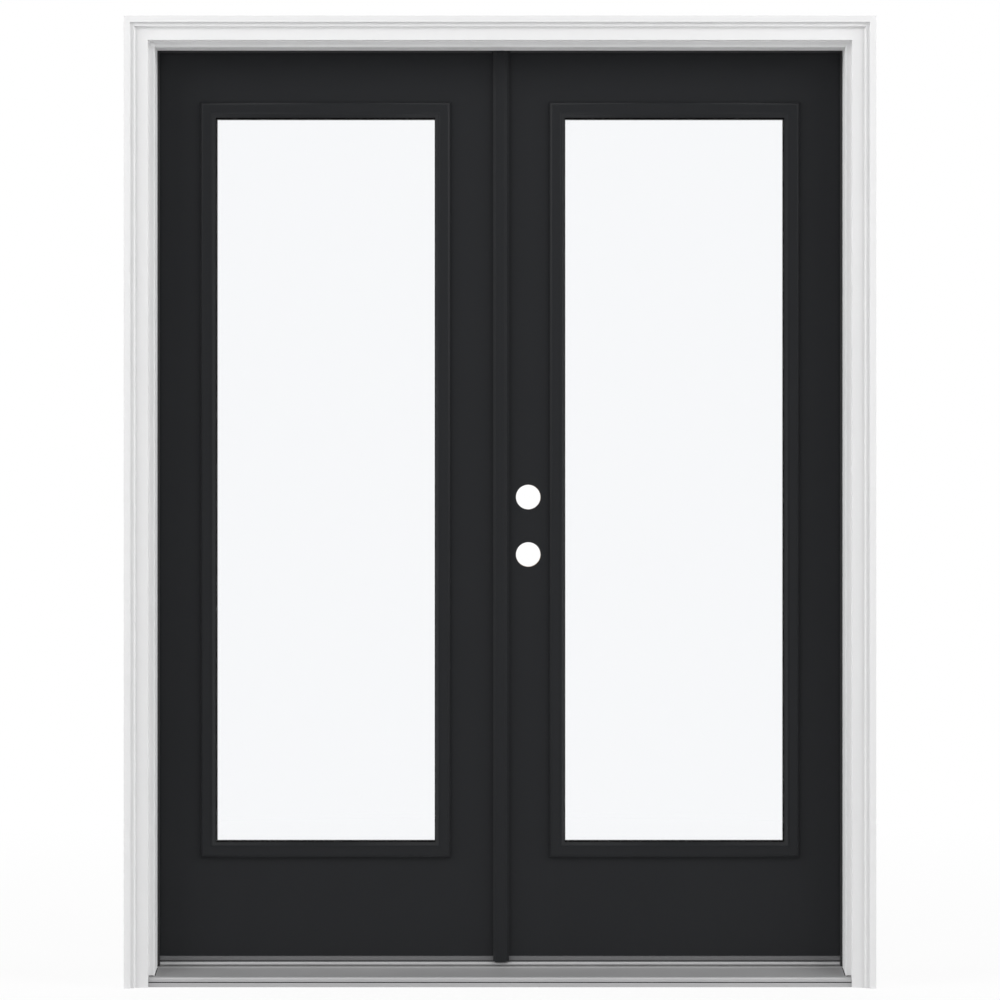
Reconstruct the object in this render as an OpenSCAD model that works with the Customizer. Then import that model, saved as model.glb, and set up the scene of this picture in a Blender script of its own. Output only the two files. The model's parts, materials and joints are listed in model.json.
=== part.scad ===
// Pair of inswing glass doors in their frame, seen from outside along +Y.
// The origin is under the middle of the sill, in the plane of the jambs' outside edges.
// +X is to the right, +Y goes into the room and +Z is up.
// The left leaf is the passive one, held by bolts, and the right leaf is the active one.

/* [Frame] */
// Width of the unit over its jambs
unit_w = 1562.1; // [1450:0.1:1700]
// Height of the unit from the sill's underside to the top of the head jamb
unit_h = 2070.1; // [1950:0.1:2200]
// Depth of the jambs through the wall
jamb_depth = 115.9; // [96:0.1:140]
// Thickness of a jamb behind the stop
jamb_t = 19.05; // [17:0.05:28]
// How far the stop stands in from the rest of the jamb
stop_t = 12.7; // [11.5:0.1:15]
// Room for the weatherstrip between the stop and a leaf's face
strip_room = 7.95; // [7:0.05:11.4]

/* [Casing] */
// Face width of the casing
casing_w = 50.8; // [44:0.1:70]
// Thickness of the casing at its outer band
casing_t = 31.75; // [29:0.05:36]
// Thickness of the casing at its middle band
casing_mid_t = 26; // [24:0.1:28]
// Thickness of the casing at its inner edge
casing_inner_t = 19; // [14:0.1:21]
// Width of the outer band
casing_outer_band = 13.5; // [10:0.1:18]
// Width of the middle band
casing_mid_band = 8; // [6:0.1:12]
// Radius of the hollow between the middle band and the wide flat
casing_cove_r = 4; // [2:0.1:6]
// Width of jamb edge left showing inside the casing
reveal = 12.7; // [9:0.1:16]

/* [Leaves] */
// Thickness of a leaf
leaf_t = 44.45; // [40:0.05:46]
// Gap around a leaf and between the two leaves
leaf_gap = 3.175; // [2.6:0.005:4]
// Thickness of the moulded skins
skin_t = 2; // [1.5:0.1:3]
// Width of the hinge stile
hinge_stile_w = 45; // [35:0.5:80]
// Width of the lock stile
lock_stile_w = 98; // [90:0.5:115]
// Height of the top rail
top_rail_h = 60; // [40:0.5:110]
// Height of the bottom rail
bottom_rail_h = 100; // [50:0.5:200]
// Glue line between the stiles, the rails and the core
glue_gap = 0.1; // [0.05:0.05:0.3]
// Height of the sweep under a leaf
sweep_h = 12.5; // [9:0.1:18]
// Thickness of the sweep's fins
fin_t = 2; // [1.5:0.1:3]
// Number of the sweep's fins
fin_count = 4; // [2:1:6]
// How far the sweep is set back from the leaf's faces
sweep_inset = 1; // [0.5:0.1:3]
// Clearance of a seal from what it closes on
seal_clear = 0.3; // [0.2:0.05:0.6]

/* [Glass] */
// From the lock edge of a leaf to the clear glass
lite_lock_margin = 140; // [134:0.5:170]
// From the hinge edge of a leaf to the clear glass
lite_hinge_margin = 136.3; // [115:0.1:170]
// From the top of a leaf to the clear glass
lite_top_margin = 155.4; // [135:0.1:220]
// From the bottom of a leaf to the clear glass
lite_bottom_margin = 249; // [225:0.5:400]
// Face width of the moulded frame around the glass
lite_face_w = 34.5; // [30:0.1:42]
// How far that frame stands proud of the leaf
lite_proud = 10; // [8:0.1:14]
// Radius of the frame's round inner bead
lite_bead_r = 3; // [2:0.1:3.5]
// How far the bead's crown lies below the frame's face
lite_bead_drop = 1.5; // [0.5:0.1:3]
// How far the hollow beside the bead lies below the frame's face
lite_hollow_drop = 2.25; // [1:0.05:4]
// Height of the sharp lip at the frame's outer edge
lite_lip = 1.5; // [1:0.1:2.5]
// Radius of the round shoulder behind that lip
lite_shoulder_r = 8; // [5:0.1:9]
// How far the glass runs in behind the frame
glass_bite = 11; // [9:0.1:13]
// From the glass edge to the frame's leg that holds the glass
leg_setback = 2; // [1:0.1:4]
// Room between the glass edge and the cut-out in the leaf
glass_edge_gap = 5.5; // [3:0.1:7]
// Thickness of one pane
pane_t = 3.2; // [2.5:0.1:5]
// Thickness of the sealed glass unit
glass_t = 19.05; // [14:0.05:24]
// Width of the spacer between the panes
spacer_w = 7; // [5:0.1:8]
// From the glass edge to that spacer
spacer_setback = 1; // [0.5:0.1:3]

/* [Lock bores] */
// From the lock edge to the middle of the cross bores
backset = 60.3; // [58:0.1:62]
// Diameter of the cross bores
bore_d = 53.975; // [50:0.005:55]
// Height of the latch bore over the sill's underside
latch_z = 936; // [850:1:1050]
// Distance from the latch bore up to the deadbolt bore
bore_spacing = 126; // [100:1:150]
// Diameter of the bores in the lock edge
edge_bore_d = 25.4; // [22:0.1:26]

/* [Astragal] */
// Width of the astragal left of the middle of the unit
astragal_left = 14.9; // [11:0.1:25]
// Width of the astragal right of the middle of the unit
astragal_right = 19.7; // [17:0.1:30]
// How far the astragal stands proud of the leaf
astragal_proud = 13; // [11:0.1:18]
// Width of its chamfers
astragal_chamfer = 6; // [4:0.1:8]
// Width of the low lip along its right edge
astragal_lip = 4.5; // [3:0.1:6]
// Clearance between the lip's seal seat and the active leaf
astragal_back = 2; // [1.5:0.1:3]
// Clearance at the astragal's two ends
astragal_end_clear = 0.7; // [0.5:0.1:2]
// Clip at the corners of its ends
astragal_clip = 5; // [2:0.1:8]

/* [Weatherstrip] */
// How far the bulb stands out past the stop
strip_proud = 4.7; // [3:0.1:6]
// Width of the strip behind the stop
strip_back_w = 5.5; // [4:0.1:8]
// Width of the kerf in the stop
kerf_w = 3; // [2.5:0.1:4]
// Depth of the kerf
kerf_depth = 9; // [6:0.1:12]
// From the stop's face to the kerf
kerf_inset = 3; // [2:0.1:4]
// Clearance of the barb in its kerf
barb_clear = 0.3; // [0.1:0.05:0.5]
// Room left in the head strip on each side of the astragal
strip_split_clear = 3; // [2:0.1:6]

/* [Sill] */
// How far the nose stands out in front of the jambs
sill_nose = 10.4; // [8:0.1:14]
// Height of the nose
nose_h = 22; // [20:0.1:25]
// Radius of the nose
nose_r = 6; // [4:0.1:7]
// Height of the lip under the nose's groove
nose_lip_h = 9.5; // [7:0.1:11]
// Height of the groove in the nose
groove_h = 2; // [1:0.1:3]
// Depth of the groove in the nose
groove_d = 2; // [1:0.1:3]
// Height of the tread at its back
tread_rear_z = 34.4; // [33:0.1:35]
// Thickness of the tread
tread_t = 2.2; // [1.5:0.1:3]
// Step up to the flat strip at the tread's back
tread_step = 1.2; // [0.6:0.1:2]
// Depth of that flat strip
tread_flat = 8; // [7:0.1:12]
// Height of the cap's top
cap_top = 44.7; // [43.5:0.1:48]
// Thickness of the cap
cap_t = 8.7; // [7:0.1:8.9]
// How far the cap stands out in front of the leaves
cap_forward = 3.45; // [2:0.05:5]
// How far the cap overhangs the tread's back edge
cap_overhang = 2; // [1:0.1:3]
// Clearance at each end of the sill
sill_end_clear = 0.3; // [0.1:0.1:1]

/* [Hinges] */
// Height of a hinge
hinge_h = 101.6; // [89:0.1:115]
// Width of a hinge leaf on the wood
hinge_leaf_w = 38; // [32:0.5:40]
// Thickness of a hinge leaf
hinge_t = 2.4; // [2:0.1:3]
// Radius of the hinge barrel
barrel_r = 5.6; // [5:0.1:6.5]
// Clearance of the barrel from the leaves' and jambs' edges
barrel_clear = 0.6; // [0.5:0.1:1.5]
// Radius of the pin
pin_r = 3; // [2.5:0.1:3.5]
// Radial clearance of the pin
pin_clear = 0.05; // [0.02:0.01:0.08]
// Radius of the pin's buttons
pin_button_r = 4.4; // [4:0.1:5]
// Height of the pin's buttons
pin_button_h = 3; // [2:0.1:5]
// Number of knuckles in a hinge
knuckle_count = 5; // [5:2:7]
// Clearance between knuckles
knuckle_gap = 0.4; // [0.3:0.05:0.6]
// From the top of a leaf down to its top hinge
hinge_from_top = 178; // [150:1:250]
// From the bottom of a leaf up to its bottom hinge
hinge_from_bottom = 279; // [180:1:320]
// Radius of the hinge screws
screw_r = 2.2; // [1.8:0.1:2.6]
// Radius of their heads
screw_head_r = 4.2; // [3.6:0.1:4.8]
// Length of a hinge screw
screw_len = 16; // [10:0.5:17]
// From the edges of a hinge leaf to its outer screws
screw_inset = 11; // [8:0.1:13]
// Distance between the two inner screws
screw_spread = 30; // [24:0.5:36]
// Clearance of a screw in its hole
screw_clear = 0.1; // [0.05:0.05:0.2]

/* [Bolts] */
// Radius of the bolts
bolt_r = 5; // [4:0.1:6]
// Length of a bolt
bolt_len = 160; // [110:1:250]
// Throw of a bolt
bolt_throw = 20; // [17:0.5:22]
// From the lock edge to a bolt's axis
bolt_inset = 12; // [10:0.1:16]
// Sliding clearance of a bolt
bolt_clear = 0.08; // [0.04:0.01:0.1]
// Clearance of a bolt in its strike
strike_clear = 0.6; // [0.4:0.1:1]
// How far a bolt's tip is drawn in when it is open
bolt_draw = 1; // [0.5:0.1:2]
// Length of the thumb slide on a bolt
thumb_len = 16; // [12:0.5:22]
// Width of the thumb slide
thumb_w = 7; // [6:0.1:8]
// How far the thumb slide lies below the lock edge
thumb_sink = 0.4; // [0.2:0.1:1]
// Clearance of the thumb slide in its slot
thumb_clear = 0.4; // [0.3:0.05:0.6]
// Thickness of the bolts' face plates and strikes
plate_t = 2; // [1.5:0.1:2.5]
// Width of the face plates and strikes
plate_w = 25; // [20:0.5:30]
// Plate left beyond each end of a slot
plate_end = 14; // [10:0.5:20]
// Length of a strike plate
strike_len = 60; // [40:1:80]

/* [Hidden] */
$fn = 48;
over = 1;
white = "#ececec";
black = "#29292b";
vinyl = "#6e6f70";
rubber = "#1c1c1d";
metal = "#b9bbbd";
timber = "#c9a678";
composite = "#8d8a84";

// Frame
rabbet_x = unit_w / 2 - jamb_t;
stop_x = rabbet_x - stop_t;
leaf_y = jamb_depth - leaf_t;
stop_depth = leaf_y - strip_room;
head_z = unit_h - jamb_t;
head_stop_z = head_z - stop_t;
casing_in_x = stop_x + reveal;
casing_in_z = head_stop_z + reveal;

// Sill, as heights and depths
nose_in_y = nose_r - sill_nose;
cap_bottom = cap_top - cap_t;
cap_front_y = leaf_y - cap_forward;
tread_rear_y = cap_front_y + cap_overhang;
tread_step_y = tread_rear_y - tread_flat;
slope_z = tread_rear_z - tread_step;
sill_half = min(casing_in_x, rabbet_x) - sill_end_clear;
function tread_top(y) = nose_h + (slope_z - nose_h) * (y - nose_in_y) / (tread_step_y - nose_in_y);

// Leaves
leaf_bottom = cap_top + seal_clear + sweep_h;
leaf_top = head_z - leaf_gap;
leaf_h = leaf_top - leaf_bottom;
lock_x = leaf_gap / 2;
hinge_x = rabbet_x - leaf_gap;
leaf_w = hinge_x - lock_x;
core_y = leaf_y + skin_t;
core_t = leaf_t - 2 * skin_t;
leaf_mid_y = leaf_y + leaf_t / 2;
bore_x = lock_x + backset;
bore_heights = [latch_z, latch_z + bore_spacing];

// Glass
lite_w = leaf_w - lite_lock_margin - lite_hinge_margin;
lite_h = leaf_h - lite_top_margin - lite_bottom_margin;
lite_x = lock_x + lite_lock_margin + lite_w / 2;
lite_z = leaf_bottom + lite_bottom_margin + lite_h / 2;
glass_sink = (leaf_t - glass_t) / 2;
leg_w = glass_bite - leg_setback;

// Hinges
pin_x = (rabbet_x + hinge_x) / 2;
pin_y = jamb_depth + barrel_r + barrel_clear;
knuckle_h = hinge_h / knuckle_count;
hinge_low = leaf_bottom + hinge_from_bottom + hinge_h / 2;
hinge_high = leaf_top - hinge_from_top - hinge_h / 2;
hinge_heights = [hinge_low, (hinge_low + hinge_high) / 2, hinge_high];
frame_knuckles = [for (i = [0:2:knuckle_count - 1]) i];
leaf_knuckles = [for (i = [1:2:knuckle_count - 2]) i];
screw_head_h = screw_head_r - screw_r;

// Bolts
bolt_x = lock_x + bolt_inset;
slot_len = thumb_len + bolt_throw + 2 * thumb_clear;
top_bolt_z = leaf_top - bolt_draw - bolt_len;
bottom_bolt_z = leaf_bottom + bolt_draw + bolt_len;

// Points of an arc about a centre, from one angle to another
function arc(centre, r, from, to, steps = 8) =
    [for (i = [0:steps]) let (a = from + (to - from) * i / steps) centre + r * [cos(a), sin(a)]];

// Section of the casing, from its inner edge outwards
flat_w = casing_w - casing_outer_band - casing_mid_band - casing_cove_r;
casing_section = concat(
    [[0, 0], [0, casing_inner_t]],
    arc([flat_w, casing_inner_t + casing_cove_r], casing_cove_r, 270, 360),
    [[flat_w + casing_cove_r, casing_mid_t], [casing_w - casing_outer_band, casing_mid_t]],
    [[casing_w - casing_outer_band, casing_t], [casing_w, casing_t], [casing_w, 0]]
);

// Section of the moulded frame around the glass, from the clear glass outwards
shoulder_x = lite_face_w - lite_lip - lite_shoulder_r;
bead_centre = [glass_bite - lite_bead_r, lite_proud - lite_bead_drop - lite_bead_r];
bead_start = 150;
bead_end = 45;
lite_section = concat(
    [[0, -glass_sink], [0, lite_lip]],
    arc(bead_centre, lite_bead_r, bead_start, bead_end),
    [[glass_bite + lite_bead_r, lite_proud - lite_hollow_drop]],
    arc([shoulder_x, lite_proud - lite_shoulder_r], lite_shoulder_r, 90, 0),
    [[lite_face_w - lite_lip, lite_lip], [lite_face_w, lite_lip], [lite_face_w, 0], [leg_w, 0]],
    [[leg_w, -glass_sink]]
);

// Section of the tread, as depth and height
tread_section = concat(
    [[-sill_nose, 0], [-sill_nose, nose_lip_h], [groove_d - sill_nose, nose_lip_h]],
    [[groove_d - sill_nose, nose_lip_h + groove_h], [-sill_nose, nose_lip_h + groove_h]],
    arc([nose_in_y, nose_h - nose_r], nose_r, 180, 90),
    [[tread_step_y, slope_z], [tread_step_y, tread_rear_z], [tread_rear_y, tread_rear_z]],
    [[tread_rear_y, slope_z - tread_t], [tread_step_y, slope_z - tread_t]],
    [[nose_in_y, nose_h - tread_t], [nose_in_y, 0]]
);

// Section of the substrate under the tread and the cap
substrate_section = [
    [nose_in_y, 0], [nose_in_y, nose_h - tread_t], [tread_step_y, slope_z - tread_t],
    [tread_rear_y, slope_z - tread_t], [tread_rear_y, cap_bottom],
    [jamb_depth, cap_bottom], [jamb_depth, 0]
];

// Section of the cap, round in front
cap_section = concat(
    arc([cap_front_y + cap_t / 2, cap_bottom + cap_t / 2], cap_t / 2, 270, 90, 12),
    [[jamb_depth, cap_top], [jamb_depth, cap_bottom]]
);

// Outline of a side stop, coped to the tread
stop_outline = [
    [0, tread_top(0)], [tread_step_y, slope_z], [tread_step_y, tread_rear_z],
    [stop_depth, tread_rear_z], [stop_depth, head_z], [0, head_z]
];

// Section of the astragal, as place and depth, from the passive leaf's face
astragal_low = astragal_proud - astragal_chamfer;
astragal_section = [
    [-astragal_left, leaf_y], [-astragal_left, leaf_y - astragal_low],
    [astragal_chamfer - astragal_left, leaf_y - astragal_proud],
    [astragal_right - astragal_lip - astragal_chamfer, leaf_y - astragal_proud],
    [astragal_right - astragal_lip, leaf_y - astragal_low], [astragal_right, leaf_y - astragal_low],
    [astragal_right, leaf_y - astragal_back], [-lock_x, leaf_y - astragal_back], [-lock_x, leaf_y]
];
astragal_z = cap_top + astragal_end_clear;
astragal_top = head_stop_z - astragal_end_clear;

// Mirrors a piece of the right side to the left where side is negative
module on_side(side) {
    mirror([side < 0 ? 1 : 0, 0, 0]) children();
}

// Extrudes a section of depth and height along X, between two places
module along_x(from, to, section) {
    translate([from, 0, 0]) rotate([90, 0, 90]) linear_extrude(to - from) polygon(section);
}

// A moulding along X whose section goes outwards along Z and stands proud along -Y
// An end with a mitre of 1 is cut at 45 degrees, and one with a mitre of 0 is square
module mitred_bar(len, section, width, mitre) {
    heights = [for (point = section) point[1]];
    low = min(heights) - over;
    rotate([90, 0, 0]) intersection() {
        translate([-len / 2 - width, 0, 0]) rotate([90, 0, 90])
            linear_extrude(len + 2 * width) polygon(section);
        translate([0, 0, low]) linear_extrude(max(heights) + over - low) polygon([
            [-len / 2, 0], [len / 2, 0],
            [len / 2 + width * mitre[1], width], [-len / 2 - width * mitre[0], width]
        ]);
    }
}

// A ring of plain rectangular section around the clear glass
module glass_ring(outer, inner, from, depth) {
    translate([lite_x, from, lite_z]) difference() {
        translate([-lite_w / 2 - outer, 0, -lite_h / 2 - outer])
            cube([lite_w + 2 * outer, depth, lite_h + 2 * outer]);
        translate([-lite_w / 2 - inner, -over, -lite_h / 2 - inner])
            cube([lite_w + 2 * inner, depth + 2 * over, lite_h + 2 * inner]);
    }
}

// The hole for the glass in the skins and the core
module lite_cutout() {
    reach = glass_bite + glass_edge_gap;
    translate([lite_x - lite_w / 2 - reach, leaf_y - over, lite_z - lite_h / 2 - reach])
        cube([lite_w + 2 * reach, leaf_t + 2 * over, lite_h + 2 * reach]);
}

// The two cross bores
module cross_bores() {
    for (z = bore_heights)
        translate([bore_x, leaf_y - over, z]) rotate([-90, 0, 0])
            cylinder(h = leaf_t + 2 * over, d = bore_d);
}

// The two bores in the lock edge, which end in the cross bores
module edge_bores() {
    for (z = bore_heights)
        translate([lock_x - over, leaf_mid_y, z]) rotate([0, 90, 0])
            cylinder(h = backset + over, d = edge_bore_d);
}

// Places what follows at each hinge's pin on the right side
module at_hinges() {
    for (z = hinge_heights) translate([pin_x, pin_y, z]) children();
}

// Places what follows at each screw of a hinge leaf, on the leaf's open face and facing +X
module at_screws() {
    inner = pin_y - jamb_depth;
    for (s = [-1, 1]) {
        translate([leaf_gap / 2, screw_inset - inner - hinge_leaf_w, s * (hinge_h / 2 - screw_inset)])
            rotate([0, 90, 0]) children();
        translate([leaf_gap / 2, -inner - screw_inset, s * screw_spread / 2])
            rotate([0, 90, 0]) children();
    }
}

// A flat-headed screw, or with a clearance the hole for it
module screw(clear = 0) {
    cylinder(h = screw_head_h, r1 = screw_head_r + clear, r2 = screw_r + clear);
    cylinder(h = screw_len + clear, r = screw_r + clear);
}

// Half of a hinge about its pin, with its plate on the +X side
module hinge_half(knuckles) {
    inner = pin_y - jamb_depth;
    difference() {
        union() {
            translate([leaf_gap / 2, -inner - hinge_leaf_w, -hinge_h / 2])
                cube([hinge_t, hinge_leaf_w, hinge_h]);
            for (i = knuckles) translate([0, 0, i * knuckle_h - hinge_h / 2 + knuckle_gap / 2]) {
                cylinder(h = knuckle_h - knuckle_gap, r = barrel_r);
                translate([leaf_gap / 2, -inner, 0]) cube([hinge_t, inner, knuckle_h - knuckle_gap]);
            }
        }
        translate([0, 0, -hinge_h]) cylinder(h = 2 * hinge_h, r = pin_r + pin_clear);
        at_screws() screw(screw_clear);
    }
}

// The mortise for a hinge leaf and the pilot holes of its screws
module hinge_mortise() {
    inner = pin_y - jamb_depth;
    translate([leaf_gap / 2 - over, -inner - hinge_leaf_w, -hinge_h / 2])
        cube([hinge_t + over, hinge_leaf_w + over, hinge_h]);
    at_screws() screw(screw_clear);
}

// The bore for a bolt and the slot for its thumb slide, with the bolt going up from z = 0
module bolt_room() {
    translate([bolt_x, leaf_mid_y, -thumb_clear])
        cylinder(h = bolt_len + bolt_throw + 2 * over, r = bolt_r + bolt_clear);
    translate([lock_x - over, leaf_mid_y - thumb_w / 2 - thumb_clear, -thumb_clear])
        cube([bolt_inset + over, thumb_w + 2 * thumb_clear, slot_len]);
}

// The mortise for a bolt's face plate
module bolt_plate_mortise() {
    translate([lock_x - over, leaf_mid_y - plate_w / 2, -thumb_clear - plate_end])
        cube([plate_t + over, plate_w, slot_len + 2 * plate_end]);
}

// Places what follows at both bolts, upright at the top and turned over at the bottom
module at_bolts() {
    translate([0, 0, top_bolt_z]) children();
    translate([0, 0, bottom_bolt_z]) mirror([0, 0, 1]) children();
}

module jamb(side) {
    color(white) on_side(side) difference() {
        union() {
            translate([rabbet_x, 0, 0]) cube([jamb_t, jamb_depth, unit_h]);
            along_x(stop_x, rabbet_x, stop_outline);
        }
        translate([stop_x + kerf_inset, stop_depth - kerf_depth, 0])
            cube([kerf_w, kerf_depth + over, head_z]);
        at_hinges() hinge_mortise();
    }
}

module head_jamb() {
    color(white) difference() {
        union() {
            translate([-rabbet_x, 0, head_z]) cube([2 * rabbet_x, jamb_depth, jamb_t]);
            translate([-stop_x, 0, head_stop_z]) cube([2 * stop_x, stop_depth, stop_t]);
        }
        translate([-stop_x - over, stop_depth - kerf_depth, head_stop_z + kerf_inset])
            cube([2 * stop_x + 2 * over, kerf_depth + over, kerf_w]);
        translate([-bolt_x - strike_len / 2, leaf_mid_y - plate_w / 2, head_z - over])
            cube([strike_len, plate_w, plate_t + over]);
        translate([-bolt_x, leaf_mid_y, head_z - over])
            cylinder(h = jamb_t + 2 * over, r = bolt_r + strike_clear);
    }
}

module side_casing(side) {
    color(white) on_side(side) translate([casing_in_x, 0, casing_in_z / 2]) rotate([0, 90, 0])
        mitred_bar(casing_in_z, casing_section, casing_w, [1, 0]);
}

module head_casing() {
    color(white) translate([0, 0, casing_in_z])
        mitred_bar(2 * casing_in_x, casing_section, casing_w, [1, 1]);
}

// Section of a weatherstrip, as the place across the stop and the depth
module strip_section() {
    bulb_r = (strip_room - seal_clear) / 2;
    translate([bulb_r - strip_proud, stop_depth + bulb_r]) circle(r = bulb_r);
    translate([bulb_r - strip_proud, stop_depth])
        square([strip_proud + strip_back_w - bulb_r, 2 * bulb_r]);
    translate([kerf_inset + barb_clear, stop_depth + barb_clear - kerf_depth])
        square([kerf_w - 2 * barb_clear, kerf_depth]);
}

module side_weatherstrip(side) {
    color(rubber) on_side(side) translate([stop_x, 0, cap_bottom])
        linear_extrude(head_z - cap_bottom - seal_clear) strip_section();
}

module head_weatherstrip() {
    reach = stop_x - strip_proud - seal_clear;
    left_end = -astragal_left - strip_split_clear;
    right_end = astragal_right + strip_split_clear;
    color(rubber) for (run = [[-reach, left_end], [right_end, reach]])
        translate([run[0], 0, head_stop_z]) rotate([0, 90, 0]) rotate([0, 0, 180]) mirror([0, 1, 0])
            linear_extrude(run[1] - run[0]) strip_section();
}

module sill_tread() {
    color(metal) along_x(-sill_half, sill_half, tread_section);
}

module sill_substrate() {
    color(composite) along_x(-sill_half, sill_half, substrate_section);
}

module sill_cap() {
    cap_front_half = stop_x - strip_proud - seal_clear;
    color(metal) difference() {
        along_x(-sill_half, sill_half, cap_section);
        for (side = [-1, 1]) on_side(side)
            translate([cap_front_half, cap_front_y - over, cap_bottom - over])
                cube([sill_half - cap_front_half + over, cap_forward + over, cap_t + 2 * over]);
        translate([-bolt_x - strike_len / 2, leaf_mid_y - plate_w / 2, cap_top - plate_t])
            cube([strike_len, plate_w, plate_t + over]);
        translate([-bolt_x, leaf_mid_y, cap_bottom - over])
            cylinder(h = cap_t + 2 * over, r = bolt_r + strike_clear);
    }
}

module bolt_strikes() {
    color(metal) for (z = [head_z, cap_top - plate_t]) translate([-bolt_x, leaf_mid_y, z]) difference() {
        translate([-strike_len / 2, -plate_w / 2, 0]) cube([strike_len, plate_w, plate_t]);
        translate([0, 0, -over]) cylinder(h = plate_t + 2 * over, r = bolt_r + strike_clear);
    }
}

module frame_hinge(side, level) {
    color(metal) on_side(side) translate([pin_x, pin_y, hinge_heights[level]])
        hinge_half(frame_knuckles);
}

module hinge_pins() {
    color(metal) for (side = [-1, 1]) on_side(side) at_hinges() {
        translate([0, 0, -hinge_h / 2]) cylinder(h = hinge_h, r = pin_r);
        translate([0, 0, hinge_h / 2]) cylinder(h = pin_button_h, r = pin_button_r);
        translate([0, 0, -hinge_h / 2 - pin_button_h]) cylinder(h = pin_button_h, r = pin_button_r);
    }
}

module frame_hinge_screws() {
    color(metal) for (side = [-1, 1]) on_side(side) at_hinges() at_screws() screw();
}

module skin(side, inside) {
    color(black) on_side(side) difference() {
        translate([lock_x, inside ? core_y + core_t : leaf_y, leaf_bottom])
            cube([leaf_w, skin_t, leaf_h]);
        lite_cutout();
        if (side > 0) cross_bores();
        if (inside) at_hinges() mirror([1, 0, 0]) hinge_mortise();
    }
}

module hinge_stile(side) {
    color(timber) on_side(side) difference() {
        translate([hinge_x - hinge_stile_w, core_y, leaf_bottom]) cube([hinge_stile_w, core_t, leaf_h]);
        at_hinges() mirror([1, 0, 0]) hinge_mortise();
    }
}

module lock_stile(side) {
    color(timber) on_side(side) difference() {
        translate([lock_x, core_y, leaf_bottom]) cube([lock_stile_w, core_t, leaf_h]);
        if (side > 0) {
            cross_bores();
            edge_bores();
        } else {
            at_bolts() bolt_room();
            at_bolts() bolt_plate_mortise();
        }
    }
}

// A block of the leaf between its stiles, with a glue line at each side
module between_stiles(from, height) {
    translate([lock_x + lock_stile_w + glue_gap, core_y, from])
        cube([leaf_w - lock_stile_w - hinge_stile_w - 2 * glue_gap, core_t, height]);
}

module top_rail(side) {
    color(timber) on_side(side) between_stiles(leaf_top - top_rail_h, top_rail_h);
}

module bottom_rail(side) {
    color(timber) on_side(side) between_stiles(leaf_bottom, bottom_rail_h);
}

module foam_core(side) {
    color("ivory") on_side(side) difference() {
        between_stiles(leaf_bottom + bottom_rail_h + glue_gap,
            leaf_h - bottom_rail_h - top_rail_h - 2 * glue_gap);
        lite_cutout();
    }
}

module lite_frame(side, inside) {
    color(black) on_side(side) translate([lite_x, inside ? jamb_depth : leaf_y, lite_z])
        mirror([0, inside ? 1 : 0, 0]) for (turn = [0:3]) {
            upright = turn % 2 == 1;
            rotate([0, 90 * turn, 0]) translate([0, 0, (upright ? lite_w : lite_h) / 2])
                mitred_bar(upright ? lite_h : lite_w, lite_section, lite_face_w, [1, 1]);
        }
}

module pane(side, inside) {
    front = leaf_y + glass_sink;
    color("lightblue", 0.4) on_side(side)
        translate([lite_x - lite_w / 2 - glass_bite, inside ? front + glass_t - pane_t : front,
            lite_z - lite_h / 2 - glass_bite])
            cube([lite_w + 2 * glass_bite, pane_t, lite_h + 2 * glass_bite]);
}

module glass_spacer(side) {
    outer = glass_bite - spacer_setback;
    color(metal) on_side(side)
        glass_ring(outer, outer - spacer_w, leaf_y + glass_sink + pane_t, glass_t - 2 * pane_t);
}

module sweep(side) {
    depth = leaf_t - 2 * sweep_inset;
    pitch = (depth - fin_t) / (fin_count - 1);
    color(vinyl) on_side(side) difference() {
        translate([lock_x, leaf_y + sweep_inset, leaf_bottom - sweep_h]) {
            translate([0, 0, sweep_h - fin_t]) cube([leaf_w, depth, fin_t]);
            for (i = [0:fin_count - 1]) translate([0, i * pitch, 0]) cube([leaf_w, fin_t, sweep_h]);
        }
        if (side < 0) translate([bolt_x, leaf_mid_y, leaf_bottom - sweep_h - over])
            cylinder(h = sweep_h + 2 * over, r = bolt_r + strike_clear);
    }
}

module leaf_hinge(side, level) {
    color(metal) on_side(side) translate([pin_x, pin_y, hinge_heights[level]]) mirror([1, 0, 0])
        hinge_half(leaf_knuckles);
}

module leaf_hinge_screws(side) {
    color(metal) on_side(side) at_hinges() mirror([1, 0, 0]) at_screws() screw();
}

// Its two ends have clipped corners
module astragal() {
    left = -astragal_left;
    right = astragal_right;
    clip = astragal_clip;
    front = leaf_y - astragal_proud;
    color(black) intersection() {
        translate([0, 0, astragal_z])
            linear_extrude(astragal_top - astragal_z) polygon(astragal_section);
        translate([0, leaf_y + over, 0]) rotate([90, 0, 0])
            linear_extrude(leaf_y - front + 2 * over) polygon([
                [left, astragal_z + clip / 2], [left + clip, astragal_z],
                [right - clip, astragal_z], [right, astragal_z + clip / 2],
                [right, astragal_top - clip / 2], [right - clip, astragal_top],
                [left + clip, astragal_top], [left, astragal_top - clip / 2]
            ]);
    }
}

// A pile strip on the back of the astragal's lip, just clear of the active leaf
module astragal_seal() {
    from = lock_x + astragal_lip;
    color(rubber) translate([from, leaf_y - astragal_back, astragal_z + astragal_clip])
        cube([astragal_right - astragal_lip - from, astragal_back - seal_clear,
            astragal_top - astragal_z - 2 * astragal_clip]);
}

module bolt_plates() {
    color(metal) on_side(-1) at_bolts() difference() {
        translate([lock_x, leaf_mid_y - plate_w / 2, -thumb_clear - plate_end])
            cube([plate_t, plate_w, slot_len + 2 * plate_end]);
        bolt_room();
    }
}

// A round bolt with its thumb slide at the inner end, drawn in
module edge_bolt() {
    color(metal) {
        translate([bolt_x, leaf_mid_y, 0]) cylinder(h = bolt_len, r = bolt_r);
        translate([lock_x + thumb_sink, leaf_mid_y - thumb_w / 2, 0])
            cube([bolt_inset - thumb_sink, thumb_w, thumb_len]);
    }
}

module top_bolt() {
    on_side(-1) translate([0, 0, top_bolt_z]) edge_bolt();
}

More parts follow.
